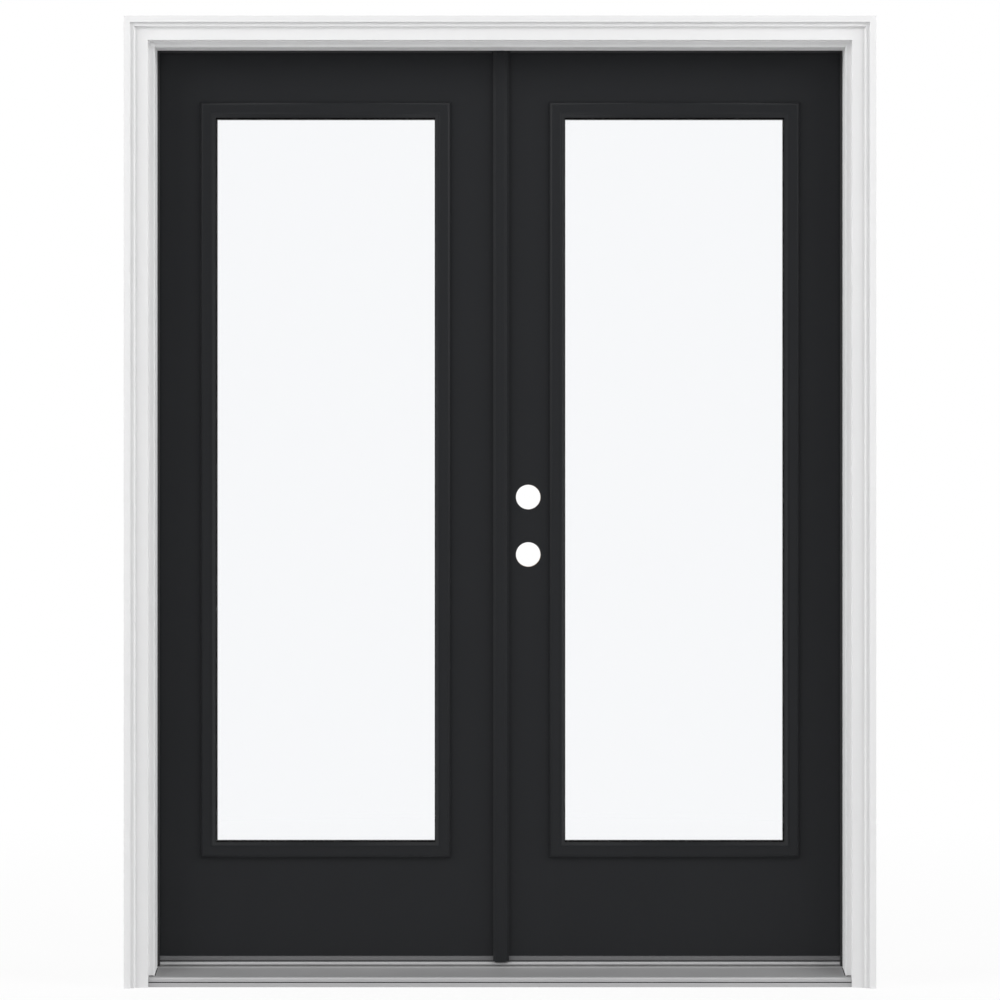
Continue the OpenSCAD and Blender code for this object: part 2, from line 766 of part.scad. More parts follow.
module bottom_bolt() {
    on_side(-1) translate([0, 0, bottom_bolt_z]) mirror([0, 0, 1]) edge_bolt();
}

jamb(-1);  // left_jamb
jamb(1);  // right_jamb
head_jamb();
side_casing(-1);  // left_casing
side_casing(1);  // right_casing
head_casing();
side_weatherstrip(-1);  // left_weatherstrip
side_weatherstrip(1);  // right_weatherstrip
head_weatherstrip();
sill_tread();
sill_substrate();
sill_cap();
bolt_strikes();
frame_hinge(-1, 0);  // left_frame_hinge_bottom
frame_hinge(-1, 1);  // left_frame_hinge_middle
frame_hinge(-1, 2);  // left_frame_hinge_top
frame_hinge(1, 0);  // right_frame_hinge_bottom
frame_hinge(1, 1);  // right_frame_hinge_middle
frame_hinge(1, 2);  // right_frame_hinge_top
hinge_pins();
frame_hinge_screws();
skin(-1, false);  // passive_exterior_skin
skin(-1, true);  // passive_interior_skin
hinge_stile(-1);  // passive_hinge_stile
lock_stile(-1);  // passive_lock_stile
top_rail(-1);  // passive_top_rail
bottom_rail(-1);  // passive_bottom_rail
foam_core(-1);  // passive_core
lite_frame(-1, false);  // passive_exterior_lite_frame
lite_frame(-1, true);  // passive_interior_lite_frame
pane(-1, false);  // passive_outer_pane
pane(-1, true);  // passive_inner_pane
glass_spacer(-1);  // passive_glass_spacer
sweep(-1);  // passive_sweep
leaf_hinge(-1, 0);  // passive_hinge_bottom
leaf_hinge(-1, 1);  // passive_hinge_middle
leaf_hinge(-1, 2);  // passive_hinge_top
leaf_hinge_screws(-1);  // passive_hinge_screws
astragal();
astragal_seal();
bolt_plates();
top_bolt();
bottom_bolt();
skin(1, false);  // active_exterior_skin
skin(1, true);  // active_interior_skin
hinge_stile(1);  // active_hinge_stile
lock_stile(1);  // active_lock_stile
top_rail(1);  // active_top_rail
bottom_rail(1);  // active_bottom_rail
foam_core(1);  // active_core
lite_frame(1, false);  // active_exterior_lite_frame
lite_frame(1, true);  // active_interior_lite_frame
pane(1, false);  // active_outer_pane
pane(1, true);  // active_inner_pane
glass_spacer(1);  // active_glass_spacer
sweep(1);  // active_sweep
leaf_hinge(1, 0);  // active_hinge_bottom
leaf_hinge(1, 1);  // active_hinge_middle
leaf_hinge(1, 2);  // active_hinge_top
leaf_hinge_screws(1);  // active_hinge_screws
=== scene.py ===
# %% [markdown]
# # A pair of glass doors in a painted frame
# The construction is already settled: every jamb, leaf, pane, hinge and bolt comes in at its real
# size and place. This lesson gives those pieces their surfaces, rounds the edges that a cutter and a
# mould leave soft, and adds the small things that sit on them, such as sealant and screw heads.
# Lengths are in metres. +X is to the right as seen from outside, +Y goes into the room, +Z is up.

# %% Load the construction
import json
import math

import bmesh
import bpy
from mathutils import Matrix, Vector
from mathutils.bvhtree import BVHTree

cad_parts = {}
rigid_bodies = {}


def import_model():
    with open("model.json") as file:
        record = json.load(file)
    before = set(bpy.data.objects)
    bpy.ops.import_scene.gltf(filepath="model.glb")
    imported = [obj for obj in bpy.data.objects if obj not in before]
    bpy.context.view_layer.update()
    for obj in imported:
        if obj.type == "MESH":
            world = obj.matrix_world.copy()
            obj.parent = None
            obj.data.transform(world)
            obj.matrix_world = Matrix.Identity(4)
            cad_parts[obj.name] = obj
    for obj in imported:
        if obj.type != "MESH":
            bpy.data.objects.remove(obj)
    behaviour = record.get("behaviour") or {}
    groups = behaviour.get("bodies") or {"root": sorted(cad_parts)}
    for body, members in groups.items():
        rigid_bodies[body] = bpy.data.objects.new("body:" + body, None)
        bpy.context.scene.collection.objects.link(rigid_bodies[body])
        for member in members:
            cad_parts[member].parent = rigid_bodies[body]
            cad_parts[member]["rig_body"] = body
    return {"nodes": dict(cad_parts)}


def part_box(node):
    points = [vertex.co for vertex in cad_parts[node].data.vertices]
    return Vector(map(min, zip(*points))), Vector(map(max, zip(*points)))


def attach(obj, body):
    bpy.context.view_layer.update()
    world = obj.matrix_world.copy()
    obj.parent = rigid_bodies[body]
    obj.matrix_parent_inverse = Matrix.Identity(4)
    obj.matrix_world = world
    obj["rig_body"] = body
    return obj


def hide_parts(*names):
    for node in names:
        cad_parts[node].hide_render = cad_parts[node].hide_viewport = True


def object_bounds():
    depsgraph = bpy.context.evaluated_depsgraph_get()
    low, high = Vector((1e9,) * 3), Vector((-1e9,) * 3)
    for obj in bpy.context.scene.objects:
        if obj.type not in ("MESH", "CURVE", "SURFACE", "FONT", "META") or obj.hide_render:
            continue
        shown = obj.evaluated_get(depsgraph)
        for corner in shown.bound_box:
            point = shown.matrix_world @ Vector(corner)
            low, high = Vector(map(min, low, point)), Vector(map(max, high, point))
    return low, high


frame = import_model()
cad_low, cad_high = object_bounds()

MM = 0.001
LEAVES = ("passive", "active")
nodes = frame["nodes"]
print("size", [round(v, 4) for v in cad_high - cad_low])

# %% [markdown]
# ## The camera
# The doors were pictured square on, from far off, with the lens level at about the height of the
# lock. A camera could be aimed by hand, but three sizes settle this one: the distance, the height
# and a long lens. Left level and unturned, it keeps the uprights of the frame upright.

# %% Place the camera
VIEW_DISTANCE = 7.5
VIEW_HEIGHT = 1.0555
LENS_MM = 125.0

scene = bpy.context.scene
camera = bpy.data.objects.new("camera", bpy.data.cameras.new("camera"))
camera.data.lens = LENS_MM
camera.location = (0, cad_low.y - VIEW_DISTANCE, VIEW_HEIGHT)
camera.rotation_euler = (math.radians(90), 0, 0)
scene.collection.objects.link(camera)
scene.camera = camera
scene.view_settings.view_transform = "Standard"
print("camera at", [round(v, 3) for v in camera.location])

# %% [markdown]
# ## A way to write materials
# A material is a net of nodes. Placing and wiring each one by hand takes many lines and hides the
# idea, so three small classes carry the rest of the lesson. The first, a `Flow`, is a value on its
# way through the net. Python's own + - * / and ** add the Math nodes, also with a plain number on
# the left.


# %% A value on its way
def arithmetic(operation):
    """The two methods of an operator: the usual one, and the one for a plain number on the left."""

    def forward(self, other):
        return self.net.add("ShaderNodeMath", {"operation": operation}, {0: self, 1: other})

    def reflected(self, other):
        return self.net.add("ShaderNodeMath", {"operation": operation}, {0: other, 1: self})

    return forward, reflected


class Flow:
    """One value on its way through a net of nodes."""

    def __init__(self, net, socket):
        self.net = net
        self.socket = socket

    __add__, __radd__ = arithmetic("ADD")
    __sub__, __rsub__ = arithmetic("SUBTRACT")
    __mul__, __rmul__ = arithmetic("MULTIPLY")
    __truediv__, __rtruediv__ = arithmetic("DIVIDE")
    __pow__, __rpow__ = arithmetic("POWER")


print("a Flow can", [name for name in vars(Flow) if name.startswith("__r")])

# %% [markdown]
# A `Net` adds every other node with one method: its type, its settings, and then what goes into its
# sockets. A white ground needs one test often: whether a ray is looking at something, or carrying
# light to it.


# %% A net of nodes
class Net:
    """The nodes of a material or of the world."""

    def __init__(self, tree):
        self.tree = tree

    def add(self, kind, settings=None, sockets=None, out=0):
        node = self.tree.nodes.new(kind)
        for key, value in (settings or {}).items():
            setattr(node, key, value)
        for key, value in (sockets or {}).items():
            self.feed(node.inputs[key], value)
        return Flow(self, node.outputs[out])

    def feed(self, socket, value):
        if isinstance(value, Flow):
            self.tree.links.new(value.socket, socket)
        else:
            socket.default_value = value

    def larger(self, one, other):
        return self.add("ShaderNodeMath", {"operation": "MAXIMUM"}, {0: one, 1: other})

    def seen_directly(self):
        """1 for rays from the camera, a mirror or glass, and 0 for those that carry light."""
        kinds = ("Is Camera Ray", "Is Glossy Ray", "Is Transmission Ray")
        eye, mirror, pane = (self.add("ShaderNodeLightPath", out=kind) for kind in kinds)
        return self.larger(self.larger(eye, mirror), pane)


print("a Net can", [name for name in vars(Net) if not name.startswith("__")])

# %% [markdown]
# A `Finish` is a net with one surface shader. What is the same all over is set straight on the
# shader. What varies is noise in Object coordinates, in metres, so it keeps its scale on every piece
# and stays with a leaf that swings.


# %% A finish
class Finish(Net):
    """A material with one surface shader, on Object coordinates."""

    def __init__(self, name, **even):
        self.material = bpy.data.materials.new(name)
        self.material.use_nodes = True
        super().__init__(self.material.node_tree)
        self.shader = self.tree.nodes["Principled BSDF"]
        self.surface = Flow(self, self.shader.outputs[0])
        self.output = self.tree.nodes["Material Output"]
        self.place = self.add("ShaderNodeTexCoord", out="Object")
        for key, value in even.items():
            self.set(key.replace("_", " "), value)

    def set(self, socket, value):
        self.feed(self.shader.inputs[socket], value)

    def noise(self, per_metre, stretch=(1, 1, 1), detail=3.0):
        """Noise from 0 to 1, with so many clouds to the metre, packed closer along some axes."""
        place = self.add("ShaderNodeMapping", None, {"Vector": self.place, "Scale": stretch})
        sockets = {"Vector": place, "Scale": per_metre, "Detail": detail}
        return self.add("ShaderNodeTexNoise", None, sockets)

    def mix(self, factor, first, second):
        """A colour between two others."""
        return self.add("ShaderNodeMix", {"data_type": "RGBA"}, {0: factor, 6: first, 7: second}, out=2)

    def relief(self, height, depth, strength=1.0):
        """Feeds the surface's normal from a height of 0 to 1, as deep as that in metres."""
        sockets = {"Height": height, "Distance": depth, "Strength": strength}
        self.set("Normal", self.add("ShaderNodeBump", None, sockets))


def colour(red, green, blue):
    return (red, green, blue, 1.0)


WHITE = colour(1, 1, 1)
print("a Finish can", [name for name in vars(Finish) if not name.startswith("__")])

# %% [markdown]
# ## Light, floor and white ground
# A catalogue picture is lit softly. One lamp beside the camera would be simple, but it flattens the
# mouldings and leaves the sides of the doorway dark. Here a pair of wide lamps stands high on the
# left and right, so that each casing shades the jamb next to it. A narrow pair further out reaches
# into the doorway, and a third pair lights the room side. A white world fills in evenly. Rays that
# look straight at the world see plain white, and so do rays by way of metal and glass.

# %% The world
WORLD_LIGHT = 0.22

world = bpy.data.worlds.new("white_room")
world.use_nodes = True
scene.world = world
sky = Net(world.node_tree)
ground = world.node_tree.nodes["Background"]
sky.feed(ground.inputs["Color"], WHITE)
sky.feed(ground.inputs["Strength"], WORLD_LIGHT + (1 - WORLD_LIGHT) * sky.seen_directly())
print("world light", WORLD_LIGHT)


# %% The lamps
def softbox(name, place, size, watts, mirrored):
    """A wide lamp aimed at the middle of the doors, which metal may mirror and glass never shows."""
    lamp = bpy.data.objects.new(name, bpy.data.lights.new(name, "AREA"))
    lamp.data.shape = "RECTANGLE"
    lamp.data.size, lamp.data.size_y = size
    lamp.data.energy = watts
    lamp.location = place
    aim = (cad_low + cad_high) / 2 - Vector(place)
    lamp.rotation_euler = aim.to_track_quat("-Z", "Y").to_euler()
    lamp.visible_camera = False
    lamp.visible_transmission = False
    lamp.visible_glossy = mirrored
    scene.collection.objects.link(lamp)
    print(name, watts, "W at", place)


for side, name in ((-1, "left"), (1, "right")):
    softbox(f"{name}_high_softbox", (side * 4.2, -2.8, 4.4), size=(3.0, 3.0), watts=184, mirrored=True)
    softbox(f"{name}_rim_softbox", (side * 6.8, -1.7, 1.6), size=(1.2, 4.0), watts=96, mirrored=True)
    softbox(f"{name}_room_softbox", (side * 3.2, 5.4, 2.4), size=(5.0, 4.0), watts=95, mirrored=False)

# %% [markdown]
# The floor is a wide pale disc. It keeps a soft shadow close to the sill, and fades into the white
# ground further out, so no horizon crosses the picture.

# %% The floor
FLOOR_RADIUS = 60.0
FLOOR_CORNERS = 64
SHADOW_FROM = 1.0
SHADOW_REACH = 4.0
SHADOW_SHARE = 0.10

shape = bmesh.new()
bmesh.ops.create_circle(shape, cap_ends=True, radius=FLOOR_RADIUS, segments=FLOOR_CORNERS)
mesh = bpy.data.meshes.new("floor")
shape.to_mesh(mesh)
shape.free()
floor = bpy.data.objects.new("floor", mesh)
scene.collection.objects.link(floor)

pale = Finish("pale_floor", Base_Color=colour(0.86, 0.86, 0.86), Roughness=0.9, Specular_IOR_Level=0.1)
distance = pale.add("ShaderNodeVectorMath", {"operation": "LENGTH"}, {0: pale.place}, out="Value")
near = pale.add("ShaderNodeMapRange", None, {
    "Value": distance, "From Min": SHADOW_FROM, "From Max": SHADOW_REACH,
    "To Min": SHADOW_SHARE, "To Max": 0.0,
})
white = pale.add("ShaderNodeEmission", None, {"Color": WHITE, "Strength": 1.0})
seen_white = pale.seen_directly() * (1 - near)
mixed = pale.add("ShaderNodeMixShader", None, {0: seen_white, 1: pale.surface, 2: white})
pale.feed(pale.output.inputs["Surface"], mixed)
floor.data.materials.append(pale.material)
print("floor", FLOOR_RADIUS, "m round")

# %% [markdown]
# ## White paint
# The jambs and the casing are primed wood under a smooth satin white. A flat white would look like
# card, so the sheen varies slowly along each board and a roller's stipple lies in the surface, only
# hundredths of a millimetre deep.

# %% White paint
white_paint = Finish("white_paint", Specular_IOR_Level=0.15)
drift = white_paint.noise(per_metre=2.5, detail=2.0)
stipple = white_paint.noise(per_metre=700, detail=2.0)
tone = white_paint.mix(drift, colour(0.80, 0.80, 0.805), colour(0.83, 0.83, 0.832))
white_paint.set("Base Color", tone)
white_paint.set("Roughness", 0.48 + 0.10 * white_paint.noise(per_metre=18))
white_paint.relief(stipple, depth=0.015 * MM, strength=0.3)
print(white_paint.material.name)

# %% [markdown]
# ## Charcoal finish
# The skins, the moulded frames around the glass and the cover strip share one near-black factory
# finish, a little cool. It is satin: its gloss is low, and fine orange peel spreads what it mirrors.

# %% Charcoal finish
charcoal = Finish("charcoal_finish", Specular_IOR_Level=0.10)
cloud = charcoal.noise(per_metre=4, detail=2.0)
peel = charcoal.noise(per_metre=450, detail=2.0)
tone = charcoal.mix(cloud, colour(0.0150, 0.0158, 0.0174), colour(0.0168, 0.0176, 0.0192))
charcoal.set("Base Color", tone)
charcoal.set("Roughness", 0.40 + 0.10 * charcoal.noise(per_metre=30))
charcoal.relief(peel, depth=0.03 * MM, strength=0.35)
print(charcoal.material.name)

# %% [markdown]
# ## Mill aluminium
# The tread and the cap of the sill are extruded and left as they come from the press. The die draws
# fine lines along their length, so the noise here is stretched out along X. It feeds the roughness
# as well as the relief, because drawn lines also dull the metal unevenly.

# %% Mill aluminium
DRAWN_ALONG_X = (0.004, 1, 1)
DULLED_ALONG_X = (0.3, 1, 1)

aluminium = Finish("mill_aluminium", Metallic=0.5, Specular_IOR_Level=0.3)
lines = aluminium.noise(per_metre=900, stretch=DRAWN_ALONG_X, detail=4.0)
dull = aluminium.noise(per_metre=9, stretch=DULLED_ALONG_X)
aluminium.set("Base Color", aluminium.mix(dull, colour(0.38, 0.38, 0.385), colour(0.46, 0.46, 0.465)))
aluminium.set("Roughness", 0.40 + 0.12 * lines + 0.06 * dull)
aluminium.relief(lines, depth=0.04 * MM, strength=0.35)
print(aluminium.material.name)

# %% [markdown]
# ## Vinyl, seals and rubber
# The sweep is grey vinyl, extruded too, so it has faint lines along X. Its fin is a darker vinyl,
# partly painted shade: the dark draws the shadow in the gap under the sweep.
# The weatherstrip is foam in a thin black film that wrinkles. The gaskets that hold the glass are
# matt rubber with no sheen to speak of, or their steep sides would mirror the white ground. Each is a
# small surface, so one noise does for its colour, its roughness and its relief.


# %% Vinyl, seals and rubber
def soft_finish(name, sheen, pattern, dark, light, roughness, relief):
    """A finish in which one noise sets the colour, the roughness and the relief."""
    finish = Finish(name, Specular_IOR_Level=sheen)
    noise = finish.noise(**pattern)
    least, spread = roughness
    depth, strength = relief
    finish.set("Base Color", finish.mix(noise, colour(*dark), colour(*light)))
    finish.set("Roughness", least + spread * noise)
    finish.relief(noise, depth, strength)
    print(finish.material.name)
    return finish


STREAKS = {"per_metre": 700, "stretch": DRAWN_ALONG_X}
WRINKLES = {"per_metre": 160, "detail": 4.0}
BLOOM = {"per_metre": 120}
grey_vinyl = soft_finish(
    "grey_vinyl", sheen=0.35, pattern=STREAKS, dark=(0.125, 0.126, 0.130), light=(0.155, 0.156, 0.160),
    roughness=(0.45, 0.12), relief=(0.04 * MM, 0.3),
)
# The fin's darker vinyl is partly painted shade, for the shadow under the sweep.
fin_shadow_vinyl = soft_finish(
    "fin_shadow_vinyl", sheen=0.25, pattern=STREAKS, dark=(0.040, 0.040, 0.042), light=(0.060, 0.060, 0.062),
    roughness=(0.50, 0.12), relief=(0.04 * MM, 0.3),
)
black_seal = soft_finish(
    "black_seal", sheen=0.25, pattern=WRINKLES, dark=(0.013, 0.013, 0.014), light=(0.026, 0.026, 0.027),
    roughness=(0.50, 0.15), relief=(0.25 * MM, 0.6),
)
rubber = soft_finish(
    "black_rubber", sheen=0.0, pattern=BLOOM, dark=(0.007, 0.007, 0.007), light=(0.012, 0.012, 0.012),
    roughness=(0.70, 0.20), relief=(0.10 * MM, 0.4),
)

# %% [markdown]
# ## Glass
# Each lite is two panes of clear float glass. The panes are real solids, so a shader that bends and
# mirrors light needs no tricks for what the camera sees. Light from a lamp would stop at it, though,
# so rays that only test for shadow pass straight through.

# %% Glass
GLASS_TINT = colour(0.963, 0.968, 0.976)
SHADOW_TINT = colour(0.93, 0.94, 0.935)

glass = Finish("clear_glass", Base_Color=GLASS_TINT, Roughness=0.0, IOR=1.5, Transmission_Weight=1.0)
is_shadow = glass.add("ShaderNodeLightPath", out="Is Shadow Ray")
passed = glass.add("ShaderNodeBsdfTransparent", None, {"Color": SHADOW_TINT})
pane = glass.add("ShaderNodeMixShader", None, {0: is_shadow, 1: glass.surface, 2: passed})
glass.feed(glass.output.inputs["Surface"], pane)
print(glass.material.name)

# %% [markdown]
# ## Laminated timber
# What the skins hide shows at the edges of an open leaf. The stiles and rails are laminated from thin
# plies. A picture of wood could be wrapped round them, but noise stretched along the piece gives the
# grain at any length, and a wave that repeats across the thickness gives the glue lines.

# %% Laminated timber
PLY = 3.2 * MM
GLUE_SHARPNESS = 14
GLUE_COLOUR = colour(0.14, 0.075, 0.035)


def laminated(name, along):
    """Laminated timber whose grain runs along an axis, given as a stretch of the noise."""
    timber = Finish(name, Specular_IOR_Level=0.3)
    depth = timber.add("ShaderNodeSeparateXYZ", None, {0: timber.place}, out="Y")
    ply = timber.add("ShaderNodeMath", {"operation": "PINGPONG"}, {0: depth, 1: PLY / 2})
    glue = (ply / (PLY / 2)) ** GLUE_SHARPNESS
    grain = timber.noise(per_metre=260, stretch=along, detail=5.0)
    fibre = timber.noise(per_metre=1400, stretch=along, detail=2.0)
    tone = 0.75 * grain + 0.25 * fibre
    wood = timber.mix(tone, colour(0.36, 0.21, 0.095), colour(0.62, 0.43, 0.235))
    timber.set("Base Color", timber.mix(0.75 * glue, wood, GLUE_COLOUR))
    timber.set("Roughness", 0.58 + 0.15 * tone)
    timber.relief(fibre - glue, depth=0.08 * MM, strength=0.5)
    print(timber.material.name)
    return timber


upright_timber = laminated("upright_timber", along=(1, 1, 0.02))
level_timber = laminated("level_timber", along=(0.02, 1, 1))

# %% [markdown]
# ## Foam and composite
# The foam core is full of fine cells, and the composite under the sill is ground wood in plastic.
# A cell pattern suits the one and a stretched speckle the other.

# %% Foam and composite
foam = Finish("insulating_foam", Specular_IOR_Level=0.2)
cells = foam.add("ShaderNodeTexVoronoi", None, {"Vector": foam.place, "Scale": 900.0})
foam.set("Base Color", foam.mix(cells, colour(0.55, 0.48, 0.34), colour(0.80, 0.74, 0.60)))
foam.set("Roughness", 0.75 + 0.15 * cells)
foam.relief(cells, depth=0.3 * MM)
print(foam.material.name)
composite = soft_finish(
    "wood_plastic", sheen=0.3, pattern={"per_metre": 380, "stretch": (0.25, 1, 1), "detail": 5.0},
    dark=(0.145, 0.143, 0.140), light=(0.320, 0.318, 0.312),
    roughness=(0.55, 0.20), relief=(0.15 * MM, 0.6),
)

# %% [markdown]
# ## Satin steel
# Hinges, screws, bolts and plates have a satin plated finish, brushed along the hinge. The noise is
# stretched along Z, and it turns the roughness more than the colour.

# %% Satin steel
BRUSHED_ALONG_Z = (1, 1, 0.012)

steel = Finish("satin_steel", Metallic=1.0)
brushed = steel.noise(per_metre=1500, stretch=BRUSHED_ALONG_Z)
steel.set("Base Color", steel.mix(brushed, colour(0.34, 0.335, 0.325), colour(0.42, 0.413, 0.40)))
steel.set("Roughness", 0.34 + 0.14 * brushed)
steel.relief(brushed, depth=0.02 * MM, strength=0.4)
print(steel.material.name)

# %% [markdown]
# ## Softened edges
# Real edges are never knife sharp: paint pools on them, and a cutter leaves a small round that
# catches the light. The construction's pieces are loose triangles, so a copy is welded into whole
# faces first. Then the bevel operator rounds the sharp edges of the copy. Short edges, as around a
# screw hole, can be passed over.

# %% Weld and round
WELD = 0.002 * MM
FLAT = math.radians(0.3)
SHARP = math.radians(28)
EASE_SEGMENTS = 2


def merged(node):
    """A copy of a piece's mesh, with its loose triangles welded into whole faces."""
    shape = bmesh.new()
    shape.from_mesh(nodes[node].data)
    bmesh.ops.remove_doubles(shape, verts=shape.verts, dist=WELD)
    bmesh.ops.dissolve_limit(shape, angle_limit=FLAT, verts=shape.verts, edges=shape.edges)
    return shape


def round_over(shape, edges, radius, segments):
    """Rounds some edges of a shape."""
    bmesh.ops.bevel(
        shape, geom=edges, offset=radius, offset_type="OFFSET", affect="EDGES", segments=segments,
        profile=0.5, material=-1, clamp_overlap=True,
    )


def ease(shape, radius, shortest=0.0):
    """Softens the sharp edges of a shape that are at least so long."""
    long = [edge for edge in shape.edges if edge.calc_length() >= shortest]
    sharp = [edge for edge in long if len(edge.link_faces) == 2 and edge.calc_face_angle() > SHARP]
    round_over(shape, sharp, radius, segments=EASE_SEGMENTS)


print("edges turn sharp at", round(math.degrees(SHARP)), "degrees")

# %% [markdown]
# ## From shape to piece
# A shape becomes a piece when it has a mesh, a finish and a body to ride on. A softened copy also
# stands in for its node, which then hides. A node that keeps its own shape only gets a finish.

# %% Make pieces
CREASE = math.radians(50)


def piece_of(shape, name, finish, body):
    """Turns a shape into a piece that rides on a body."""
    mesh = bpy.data.meshes.new(name)
    shape.to_mesh(mesh)
    shape.free()
    mesh.shade_smooth()
    mesh.set_sharp_from_angle(angle=CREASE)
    mesh.materials.append(finish.material)
    piece = bpy.data.objects.new(name, mesh)
    scene.collection.objects.link(piece)
    even = piece.modifiers.new("even_shading", "WEIGHTED_NORMAL")
    even.keep_sharp = True
    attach(piece, body)
    print(name, len(mesh.polygons), "faces,", [round(v / MM, 1) for v in piece.dimensions], "mm")


def stand_in(shape, node, finish):
    """Turns a shape into the piece that shows in place of a node."""
    name = f"{node}_finished"
    piece_of(shape, name, finish, nodes[node]["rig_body"])
    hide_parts(node)


def eased(names, finish, radius, shortest=0.0):
    """Stand-ins with softened edges for several nodes."""
    for node in names:
        shape = merged(node)
        ease(shape, radius, shortest)
        stand_in(shape, node, finish)


def dress(node, finish):
    """Gives a node that keeps its own shape a finish."""
    mesh = nodes[node].data
    mesh.materials.clear()
    mesh.materials.append(finish.material)
    print(node, "in", finish.material.name)


print("faces crease at", round(math.degrees(CREASE)), "degrees")

# %% [markdown]
# ## Casing
# The casing is a moulded board on three sides, mitred at the top. Its profile is in the construction,
# so only the arrises need softening, by about half a millimetre to keep the moulding crisp.

# %% Casing
eased(["left_casing", "right_casing", "head_casing"], white_paint, radius=0.6 * MM, shortest=5 * MM)

# %% [markdown]
# ## Jambs
# The jambs behind the casing are boards with a rabbet for the leaves. The front arris of the stop is
# where hands and boxes knock, so a router rounds it well over, and it shows as a bright line beside
# the shaded front. The round ends where the side meets the head, so the copy is first cut there by
# a plane, and only the edges below take it. All other edges are just softened.

# %% Jambs
ARRIS_RADIUS = 3.0 * MM
ARRIS_SEGMENTS = 4

jamb_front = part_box("head_jamb")[0].y
stop_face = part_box("right_jamb")[0].x
stop_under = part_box("head_jamb")[0].z


def cut(shape, place, across, faces=None):
    """Cuts a shape's faces along a plane, and gives the cut faces back."""
    faces = faces or shape.faces
    around = {item for face in faces for item in (face, *face.edges, *face.verts)}
    found = bmesh.ops.bisect_plane(shape, geom=list(around), dist=WELD, plane_co=place, plane_no=across)
    return [item for item in found["geom"] if isinstance(item, bmesh.types.BMFace)]


def on_arris(vert):
    """True for a corner on the line where the front of a jamb turns into the doorway."""
    beside = abs(abs(vert.co.x) - stop_face) < WELD and vert.co.z < stop_under + WELD
    above = abs(vert.co.z - stop_under) < WELD and abs(vert.co.x) < stop_face + WELD
    return abs(vert.co.y - jamb_front) < WELD and (beside or above)


for node in ("left_jamb", "right_jamb", "head_jamb"):
    shape = merged(node)
    cut(shape, place=(0, 0, stop_under), across=(0, 0, 1))
    arris = [edge for edge in shape.edges if all(on_arris(vert) for vert in edge.verts)]
    round_over(shape, arris, ARRIS_RADIUS, ARRIS_SEGMENTS)
    ease(shape, radius=0.9 * MM, shortest=45 * MM)
    stand_in(shape, node, white_paint)

# %% [markdown]
# ## The sill
# A press gives an extrusion very small rounds. The tread slopes to a grooved nose, and the cap behind
# it has a round front that the sweeps close on. A black rubber strip lies in the groove of the nose,
# as painted shade: its dark draws the groove's shadow line. Bare metal there would mirror the white
# ground as brightly as the nose does, and the line would be lost.

# %% The sill
GROOVE_BOTTOM = 9.5 * MM
GROOVE_HEIGHT = 2.0 * MM
GROOVE_DEPTH = 2.0 * MM
STRIP_SETBACK = 0.4 * MM


def block(low, high):
    """A box between two corners."""
    low, high = Vector(low), Vector(high)
    shape = bmesh.new()
    bmesh.ops.create_cube(shape, size=1)
    bmesh.ops.scale(shape, verts=shape.verts, vec=high - low)
    bmesh.ops.translate(shape, verts=shape.verts, vec=(low + high) / 2)
    return shape


eased(["sill_tread", "sill_cap"], aluminium, radius=0.4 * MM, shortest=45 * MM)
dress("sill_substrate", composite)
low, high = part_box("sill_tread")
strip_low = (low.x, low.y + STRIP_SETBACK, GROOVE_BOTTOM)
strip_high = (high.x, low.y + GROOVE_DEPTH, GROOVE_BOTTOM + GROOVE_HEIGHT)
# The black strip is painted shade: it draws the shadow line in the groove of the nose.
piece_of(block(strip_low, strip_high), "sill_nose_shade_strip", rubber, "frame")

# %% [markdown]
# ## Sealant at the feet of the jambs, dark as painted shade
# Each side stop is cut to the slope of the tread, and the fitter runs a thin bead of black sealant
# around its foot. Its black is partly painted shade: it draws the contact shadow where the stop meets
# the tread. The bead follows the joint: across the front, around the arris and back up the slope. It
# starts as a three-cornered section, which is extruded from one station of that route to the next. An
# extrusion keeps the face it started from, so each one that is passed by is deleted. The heights are
# found by dropping a ray on the tread, so the bead needs no copy of the slope.

# %% Sealant at the feet
BEAD = 1.5 * MM
DOWN = Vector((0, 0, -1))

shape = merged("sill_tread")
tread = BVHTree.FromBMesh(shape)
shape.free()


def bead_section(x, y, out_x, out_y):
    """The heel, top and toe of the bead at a place on the joint, with the way out of the jamb."""
    toe = tread.ray_cast(Vector((x + out_x * BEAD, y + out_y * BEAD, 1)), DOWN)[0]
    heel = Vector((x, y, toe.z))
    return heel, heel - DOWN * BEAD, toe


for side, name in ((-1, "left"), (1, "right")):
    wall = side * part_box("sill_tread")[1].x
    face = side * stop_face
    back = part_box(f"{name}_weatherstrip")[0].y
    shape = bmesh.new()
    corners = [shape.verts.new(place) for place in bead_section(wall, jamb_front, 0, -1)]
    first = shape.faces.new(corners)
    end = first
    for station in (
        (face + side * ARRIS_RADIUS, jamb_front, 0, -1), (face, jamb_front + ARRIS_RADIUS, -side, 0),
        (face, back, -side, 0),
    ):
        passed_by = end
        grown = bmesh.ops.extrude_face_region(shape, geom=[end])["geom"]
        end = next(item for item in grown if isinstance(item, bmesh.types.BMFace))
        for vert, place in zip(end.verts, bead_section(*station)):
            vert.co = place
        if passed_by is not first:
            bmesh.ops.delete(shape, geom=[passed_by], context="FACES_ONLY")
    bmesh.ops.recalc_face_normals(shape, faces=shape.faces)
    # The black bead is partly painted shade: the contact shadow at the foot of the stop.
    piece_of(shape, f"{name}_jamb_shade_sealant", rubber, "frame")

# %% [markdown]
# ## Skins with their joint lines
# A leaf has a moulded skin on each face. The mould draws a fine upright line where a wooden door would
# have its stile meet the rails, above and below the glass. It could be painted on by the material,
# but a real groove shades rightly from any side: three cuts by a plane give it its two edges and its
# bottom, and the bottom's corners are then pushed in.

# %% Skins
SEAM_FROM_HINGE_EDGE = 122.4 * MM
SEAM_FROM_LOCK_EDGE = 128.2 * MM
SEAM_WIDTH = 1.6 * MM
SEAM_DEPTH = 0.5 * MM


